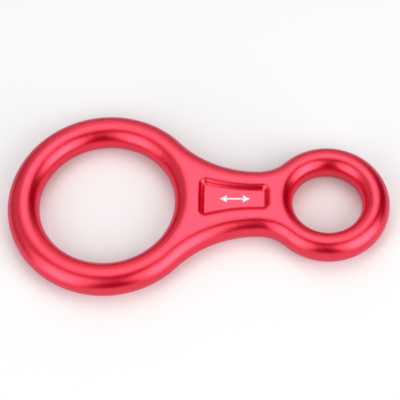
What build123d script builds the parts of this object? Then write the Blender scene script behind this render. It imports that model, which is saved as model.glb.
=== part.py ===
"""Figure-eight descender: one forged aluminium body with a printed load mark.

Units are millimetres. The origin is the centre of the rope ring on the forging's
mid-plane, +X runs towards the connector eye, and +Z leaves the marked face.

Every edge of the forging is rolled over: from its crest, level with the two faces,
the surface falls away as a quarter ellipse to a short straight land at mid-height.
"""

import os
from math import atan2, cos, degrees, radians, sin, sqrt

from build123d import *

os.makedirs("parts", exist_ok=True)

# Driving dimensions of the forging
thickness = 12.0
land_height = 0.8  # straight wall left at the middle of every rolled edge
ring_outer_radius = 38.0  # the large ring, which the rope runs through
ring_band = 12.0
eye_outer_radius = 23.5  # the small ring, which the connector clips into
eye_band = 10.3
eye_distance = 84.0  # between the centres of the two rings
waist_x = 57.8  # where the web between the rings is narrowest
waist_half_width = 13.1

# Sunken panel in each face of the web. Its walls slope from the rim to the floor, and both
# of those edges are broadly rounded; the sizes are those of the sharp edges before that.
panel_depth = 1.95
panel_waist_x = 57.0  # where the panel is narrowest
rim_left, rim_right = 35.8, 61.5
rim_half_height = 4.9
rim_flank_radius = 64.0
rim_corner_radii = (1.9, 2.3)  # at the left and right ends
rim_edge_radius = 2.2
floor_left, floor_right = 37.0, 60.45
floor_half_height = 3.85
floor_flank_radius = 71.5
floor_corner_radii = (0.9, 1.5)
floor_edge_radius = 1.2

# Load mark: a double-headed arrow printed along the major axis
ink_thickness = 0.05
arrow_centre_x = 48.9
arrow_length = 11.3
arrow_head_length = 2.6
arrow_head_width = 3.1
arrow_line_width = 0.6

# Worked out from the dimensions above
crest_z = thickness / 2
ring_round = ring_band / 2  # from a wall to the crest line, across each ring
eye_round = eye_band / 2
stations_per_arc = 13  # sections along each of the two arcs of a flank


def flank_arc_radius(distance, outer_radius):
    """Radius of the arc that touches a ring and lies level at the waist, `distance` away."""
    rise = waist_half_width
    return (distance**2 + rise**2 - outer_radius**2) / (2 * (outer_radius - rise))


ring_flank_radius = flank_arc_radius(waist_x, ring_outer_radius)
eye_flank_radius = flank_arc_radius(eye_distance - waist_x, eye_outer_radius)

# Polar angles, about each ring's own centre, where the flank leaves that ring
ring_flank_angle = degrees(atan2(waist_half_width + ring_flank_radius, waist_x))
eye_flank_angle = degrees(
    atan2(waist_half_width + eye_flank_radius, waist_x - eye_distance)
)


def radial_plane(centre_x, angle):
    """Upright plane through a ring's axis: local X is the radius, local Y is up."""
    turn = radians(angle)
    return Plane(
        origin=(centre_x, 0, 0),
        x_dir=(cos(turn), sin(turn), 0),
        z_dir=(sin(turn), -cos(turn), 0),
    )


def flank_plane(arc_radius, angle):
    """Upright plane square to the +Y flank, from the outline (local X = 0) into the metal."""
    turn = radians(angle)
    inward = Vector(-cos(turn), -sin(turn), 0)
    arc_centre = Vector(waist_x, waist_half_width + arc_radius, 0)
    return Plane(
        origin=arc_centre + inward * arc_radius,
        x_dir=inward,
        z_dir=(-sin(turn), cos(turn), 0),
    )


def rolled_edge(wall, crest):
    """Outline of a rolled edge's section, with its land at `wall` and its crest at `crest`."""
    half_land = land_height / 2
    width = abs(crest - wall)
    height = crest_z - half_land
    land_angle, turn = (180, -90) if wall < crest else (0, 90)
    with BuildLine() as outline:
        Line((wall, -half_land), (wall, half_land))
        EllipticalCenterArc((crest, half_land), width, height, land_angle, arc_size=turn)
        Line((crest, crest_z), (crest, -crest_z))
        EllipticalCenterArc((crest, -half_land), width, height, land_angle, arc_size=-turn)
    return outline.edges()


def flank_sections():
    """Planes along the +Y flank, from the rope ring to the eye, with the share of the way."""
    arcs = (
        (ring_flank_radius, ring_flank_angle, 90),
        (eye_flank_radius, 90, eye_flank_angle),
    )
    lengths = [radius * radians(end - start) for radius, start, end in arcs]
    sections = []
    for number, (radius, start, end) in enumerate(arcs):
        for step in range(number, stations_per_arc):
            part_way = step / (stations_per_arc - 1)
            travel = sum(lengths[:number]) + part_way * lengths[number]
            plane = flank_plane(radius, start + part_way * (end - start))
            sections.append((plane, travel / sum(lengths)))
    return sections


def panel_outline(left, right, half_height, flank_radius, corner_radii):
    """Sketch of the panel with hollow flanks, square ends and rounded corners."""

    def edge_height(x):
        return half_height + flank_radius - sqrt(flank_radius**2 - (x - panel_waist_x) ** 2)

    with BuildSketch() as panel:
        with BuildLine():
            upper = ThreePointArc(
                (left, edge_height(left)),
                (panel_waist_x, half_height),
                (right, edge_height(right)),
            )
            mirror(upper, about=Plane.XZ)
            Line((left, edge_height(left)), (left, -edge_height(left)))
            Line((right, edge_height(right)), (right, -edge_height(right)))
        make_face()
        for end, radius in zip((0, -1), corner_radii):
            fillet(panel.vertices().group_by(Axis.X)[end], radius)
    return panel.sketch


def ring_part(centre_x, outer_radius, band, free_from, free_arc):
    """A ring: its inner edge all round, and its outer edge over `free_arc`, clear of the web."""
    axis = Axis((centre_x, 0, 0), (0, 0, 1))
    crest_radius = outer_radius - band / 2
    with BuildPart() as ring:
        for wall, arc in ((outer_radius, free_arc), (outer_radius - band, 360)):
            with BuildSketch(radial_plane(centre_x, free_from)):
                make_face(rolled_edge(wall, crest_radius))
            revolve(axis=axis, revolution_arc=arc)
    return ring.part


# The +Y flank's rolled edge: its width eases from the rope ring's to the eye's
with BuildPart() as flank:
    for plane, share in flank_sections():
        ease = share * share * (3 - 2 * share)
        with BuildSketch(plane):
            make_face(rolled_edge(0, ring_round + (eye_round - ring_round) * ease))
    loft()

# The web's faces end on the crest lines of the two rings and the two flanks
with BuildSketch(Plane.XY) as web:
    with BuildLine():
        crest = flank.edges().filter_by_position(Axis.Z, crest_z, crest_z)[0]
        crest = add(crest.moved(Location((0, 0, -crest_z))))
        mirror(crest, about=Plane.XZ)
        CenterArc(
            (0, 0), ring_outer_radius - ring_round, -ring_flank_angle, 2 * ring_flank_angle
        )
        CenterArc(
            (eye_distance, 0),
            eye_outer_radius - eye_round,
            eye_flank_angle,
            360 - 2 * eye_flank_angle,
        )
    make_face()

rim = panel_outline(rim_left, rim_right, rim_half_height, rim_flank_radius, rim_corner_radii)
floor = panel_outline(
    floor_left, floor_right, floor_half_height, floor_flank_radius, floor_corner_radii
)
with BuildPart() as panel_recess:
    with BuildSketch(Plane.XY.offset(crest_z)):
        add(rim)
    with BuildSketch(Plane.XY.offset(crest_z - panel_depth)):
        add(floor)
    loft(ruled=True)

with BuildPart() as forged_body:
    add(
        ring_part(
            0, ring_outer_radius, ring_band, ring_flank_angle, 360 - 2 * ring_flank_angle
        )
    )
    add(
        ring_part(
            eye_distance, eye_outer_radius, eye_band, -eye_flank_angle, 2 * eye_flank_angle
        )
    )
    add(flank.part)
    mirror(flank.part, about=Plane.XZ)
    extrude(web.sketch, amount=crest_z, both=True)
    add(panel_recess.part, mode=Mode.SUBTRACT)
    mirror(panel_recess.part, about=Plane.XY, mode=Mode.SUBTRACT)
    faces = forged_body.faces().filter_by(Plane.XY).group_by(Axis.Z)
    web_faces, panel_floors = faces[0] + faces[-1], faces[1] + faces[-2]
    rims = [edge for face in web_faces for edge in face.inner_wires()[0].edges()]
    corners = [edge for face in panel_floors for edge in face.outer_wire().edges()]
    fillet(rims, rim_edge_radius)
    fillet(corners, floor_edge_radius)
forged_body.part.label = "forged_body"
export_step(forged_body.part, "parts/forged_body.step")

with BuildPart() as load_mark:
    with BuildSketch(Plane((arrow_centre_x, 0, crest_z - panel_depth))):
        with BuildLine():
            neck_x = arrow_length / 2 - arrow_head_length
            Polyline(
                (0, arrow_line_width / 2),
                (neck_x, arrow_line_width / 2),
                (neck_x, arrow_head_width / 2),
                (arrow_length / 2, 0),
            )
            mirror(about=Plane.XZ)
            mirror(about=Plane.YZ)
        make_face()
    extrude(amount=ink_thickness)
load_mark.part.label = "load_mark"
export_step(load_mark.part, "parts/load_mark.step")
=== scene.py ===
"""Figure-eight descender: camera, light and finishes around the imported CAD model.

Units are metres. The model lies in the row frame: +X runs from the rope ring to the
connector eye, and +Z leaves the face with the printed mark.
"""

from collections import namedtuple
from math import cos, pi, radians, sin

import bpy
from mathutils import Matrix, Vector


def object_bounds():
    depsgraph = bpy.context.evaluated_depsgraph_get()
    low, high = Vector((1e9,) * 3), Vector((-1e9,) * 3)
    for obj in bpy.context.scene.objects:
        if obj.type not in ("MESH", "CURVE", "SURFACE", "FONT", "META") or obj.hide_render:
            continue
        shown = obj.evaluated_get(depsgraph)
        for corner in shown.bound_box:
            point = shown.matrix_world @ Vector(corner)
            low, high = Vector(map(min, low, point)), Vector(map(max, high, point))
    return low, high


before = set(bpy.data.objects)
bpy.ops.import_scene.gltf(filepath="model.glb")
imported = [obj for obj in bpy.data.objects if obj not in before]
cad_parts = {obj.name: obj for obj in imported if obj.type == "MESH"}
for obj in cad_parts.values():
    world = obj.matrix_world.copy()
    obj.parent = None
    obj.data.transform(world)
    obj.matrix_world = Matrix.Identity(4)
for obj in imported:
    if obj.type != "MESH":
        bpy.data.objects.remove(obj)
cad_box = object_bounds()

# Camera, as seen from the middle of the model: direction, tilt about the line of sight, range
view_azimuth = 4.8
view_elevation = 61.0
view_roll = -4.1
view_distance = 0.4945
aim_offset = Vector((0.0008, 0.0017, 0.0))  # from the middle of the model to what it looks at
lens_mm = 116.5
sensor_mm = 36.0

# Softboxes stand round the model at one distance, facing it. `glow` is watts per square
# metre over pi, and a higher `edge_power` gives the box's glow a harder edge.
softbox_distance = 0.85
Softbox = namedtuple("Softbox", "name azimuth elevation width height glow edge_power")
softboxes = (
    Softbox("left_softbox", -46, 26, 0.85, 1.45, 3.1, 2.3),
    Softbox("right_softbox", 57, 27, 1.05, 1.30, 3.6, 2.9),
    Softbox("back_softbox", 177, 68, 0.95, 1.05, 2.75, 1.8),
    Softbox("low_back_fill", 184, 24, 1.40, 0.55, 0.85, 3.0),
    Softbox("side_fill", -100, 36, 1.35, 1.05, 0.5, 3.0),
)
room_glow = 0.01  # radiance of the dark room round the softboxes
paper_glow = 0.92  # what the camera sees past the end of the paper floor
floor_half_width = 3.0
paper_white = 0.86  # as the camera sees the floor
paper_shade = 0.66  # as the metal reflects it

mm_per_metre = 1000.0
blast_grain_mm = 0.22  # from one pit of the blasted metal to the next


def direction(azimuth, elevation):
    """Unit vector from the model towards that azimuth and elevation, in degrees."""
    turn, rise = radians(azimuth), radians(elevation)
    return Vector((sin(turn) * cos(rise), -cos(turn) * cos(rise), sin(rise)))


def model_centre():
    low, high = cad_box
    return (low + high) / 2


def link(thing):
    bpy.context.scene.collection.objects.link(thing)
    return thing


def add_camera():
    data = bpy.data.cameras.new("camera")
    data.lens = lens_mm
    data.sensor_width = sensor_mm
    camera = link(bpy.data.objects.new("camera", data))
    back = direction(view_azimuth, view_elevation)
    level = Vector((cos(radians(view_azimuth)), sin(radians(view_azimuth)), 0))
    right = Matrix.Rotation(radians(view_roll), 3, back) @ level
    axes = Matrix((right, back.cross(right), back)).transposed()
    place = model_centre() + aim_offset + back * view_distance
    camera.matrix_world = Matrix.Translation(place) @ axes.to_4x4()
    bpy.context.scene.camera = camera


def math_node(tree, operation, first, second=None, third=None):
    """A Math node over sockets or plain numbers; returns its output socket."""
    node = tree.nodes.new("ShaderNodeMath")
    node.operation = operation
    for slot, value in enumerate((first, second, third)):
        if isinstance(value, bpy.types.NodeSocket):
            tree.links.new(value, node.inputs[slot])
        elif value is not None:
            node.inputs[slot].default_value = value
    return node.outputs[0]


def soften_edges(light, edge_power):
    """Lets the light's glow fall to nothing at its four edges, as a lit diffuser's does."""
    light.use_nodes = True
    tree = light.node_tree
    across = tree.nodes.new("ShaderNodeSeparateXYZ")
    geometry = tree.nodes.new("ShaderNodeNewGeometry")
    tree.links.new(geometry.outputs["Parametric"], across.inputs[0])
    shares = []
    for axis in "XY":
        # The place across the light runs from 0 to 1, and the offset from -1 to 1
        offset = math_node(tree, "MULTIPLY_ADD", across.outputs[axis], 2.0, -1.0)
        drop = math_node(tree, "POWER", math_node(tree, "ABSOLUTE", offset), edge_power)
        shares.append(math_node(tree, "SUBTRACT", 1.0, drop))
    strength = math_node(tree, "MULTIPLY", *shares)
    tree.links.new(strength, tree.nodes["Emission"].inputs["Strength"])


def add_softbox(box):
    light = bpy.data.lights.new(box.name, "AREA")
    light.shape = "RECTANGLE"
    light.size = box.width
    light.size_y = box.height
    light.energy = box.glow * pi * box.width * box.height
    soften_edges(light, box.edge_power)
    lamp = link(bpy.data.objects.new(box.name, light))
    towards = direction(box.azimuth, box.elevation)
    lamp.location = model_centre() + towards * softbox_distance
    lamp.rotation_mode = "QUATERNION"
    lamp.rotation_quaternion = (-towards).to_track_quat("-Z", "Y")
    lamp.visible_camera = False


def seen_directly(tree):
    """Socket that is 1 for what the picture shows and 0 for what reflects or lights it."""
    return tree.nodes.new("ShaderNodeLightPath").outputs["Is Camera Ray"]


def add_room():
    """A dim room, with white paper where the camera looks past the floor."""
    world = bpy.data.worlds.new("studio")
    world.use_nodes = True
    tree = world.node_tree
    strength = math_node(
        tree, "MULTIPLY_ADD", seen_directly(tree), paper_glow - room_glow, room_glow
    )
    tree.links.new(strength, tree.nodes["Background"].inputs["Strength"])
    tree.nodes["Background"].inputs["Color"].default_value = (1, 1, 1, 1)
    bpy.context.scene.world = world


def new_material(name):
    material = bpy.data.materials.new(name)
    material.use_nodes = True
    return material, material.node_tree, material.node_tree.nodes["Principled BSDF"]


def noise(tree, grain_mm, detail=2.0):
    """Noise in the model's own frame, about `grain_mm` from one speck to the next."""
    place = tree.nodes.new("ShaderNodeTexCoord")
    texture = tree.nodes.new("ShaderNodeTexNoise")
    texture.inputs["Scale"].default_value = mm_per_metre / grain_mm
    texture.inputs["Detail"].default_value = detail
    tree.links.new(place.outputs["Object"], texture.inputs["Vector"])
    return texture.outputs["Fac"]


def spread(tree, value, low, high):
    """Maps a value's middle half, from a quarter to three quarters, onto low to high."""
    node = tree.nodes.new("ShaderNodeMapRange")
    node.inputs["From Min"].default_value = 0.25
    node.inputs["From Max"].default_value = 0.75
    node.inputs["To Min"].default_value = low
    node.inputs["To Max"].default_value = high
    tree.links.new(value, node.inputs["Value"])
    return node.outputs["Result"]


def blend_colours(tree, share, first, second):
    """The first colour where `share` is 0, the second where it is 1."""
    node = tree.nodes.new("ShaderNodeMix")
    node.data_type = "RGBA"
    tree.links.new(share, node.inputs["Factor"])
    node.inputs["A"].default_value = (*first, 1)
    node.inputs["B"].default_value = (*second, 1)
    return node.outputs["Result"]


def bump_normal(tree, height, depth_mm):
    """Normals of a surface that `height` raises by up to `depth_mm`."""
    bump = tree.nodes.new("ShaderNodeBump")
    bump.inputs["Distance"].default_value = depth_mm / mm_per_metre
    tree.links.new(height, bump.inputs["Height"])
    return bump.outputs["Normal"]


def fade_at_grazing(tree, face_on, grazing):
    """A value that falls from `face_on` to `grazing` as the surface turns edge-on to the ray."""
    facing = tree.nodes.new("ShaderNodeLayerWeight").outputs["Facing"]
    return spread(tree, facing, face_on, grazing)


def anodised_aluminium():
    """Blasted forging, dyed red: the dyed metal scatters, and its clear seal shines."""
    material, tree, shader = new_material("anodised_aluminium")
    deep_red = (0.73, 0.0, 0.005)
    bright_red = (0.96, 0.004, 0.040)
    specks = spread(tree, noise(tree, grain_mm=0.6), 0, 1)
    tree.links.new(blend_colours(tree, specks, deep_red, bright_red), shader.inputs["Base Color"])
    patches = spread(tree, noise(tree, grain_mm=1.8), 0.18, 0.22)
    tree.links.new(patches, shader.inputs["Roughness"])
    shader.inputs["Metallic"].default_value = 0.65
    shader.inputs["IOR"].default_value = 1.9
    shader.inputs["Specular Tint"].default_value = (1.0, 0.3, 0.85, 1.0)
    tree.links.new(fade_at_grazing(tree, 1.0, 0.3), shader.inputs["Coat Weight"])
    shader.inputs["Coat Roughness"].default_value = 0.14
    shader.inputs["Coat IOR"].default_value = 1.52
    grain = bump_normal(tree, noise(tree, blast_grain_mm, detail=1.0), depth_mm=0.047)
    for normal in ("Normal", "Coat Normal"):
        tree.links.new(grain, shader.inputs[normal])
    return material


def white_ink():
    """Pad-printed ink: matt, a little thin in places where the blasted metal shows through."""
    material, tree, shader = new_material("white_ink")
    thin_ink = (0.86, 0.66, 0.70)
    full_ink = (0.92, 0.88, 0.89)
    cover = spread(tree, noise(tree, grain_mm=0.35, detail=4.0), 0, 1)
    tree.links.new(blend_colours(tree, cover, thin_ink, full_ink), shader.inputs["Base Color"])
    shader.inputs["Roughness"].default_value = 0.55
    grain = bump_normal(tree, noise(tree, blast_grain_mm), depth_mm=0.02)
    tree.links.new(grain, shader.inputs["Normal"])
    return material


def floor_paper():
    """White paper that the metal reflects as a little greyer than the camera sees it."""
    material, tree, shader = new_material("floor_paper")
    paper = blend_colours(tree, seen_directly(tree), (paper_shade,) * 3, (paper_white,) * 3)
    tree.links.new(paper, shader.inputs["Base Color"])
    shader.inputs["Roughness"].default_value = 0.8
    shader.inputs["Specular IOR Level"].default_value = 0.2
    return material


def add_floor():
    low, _high = cad_box
    half = floor_half_width
    mesh = bpy.data.meshes.new("floor")
    outline = ((-half, -half), (half, -half), (half, half), (-half, half))
    corners = [(x, y, low.z) for x, y in outline]
    mesh.from_pydata(corners, [], [(0, 1, 2, 3)])
    mesh.materials.append(floor_paper())
    link(bpy.data.objects.new("floor", mesh))


def dress(node, material):
    """Gives a CAD node its finish."""
    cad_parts[node].material_slots[0].material = material


add_camera()
for softbox in softboxes:
    add_softbox(softbox)
add_room()
add_floor()
dress("forged_body", anodised_aluminium())
dress("load_mark", white_ink())
bpy.context.scene.view_settings.view_transform = "Standard"
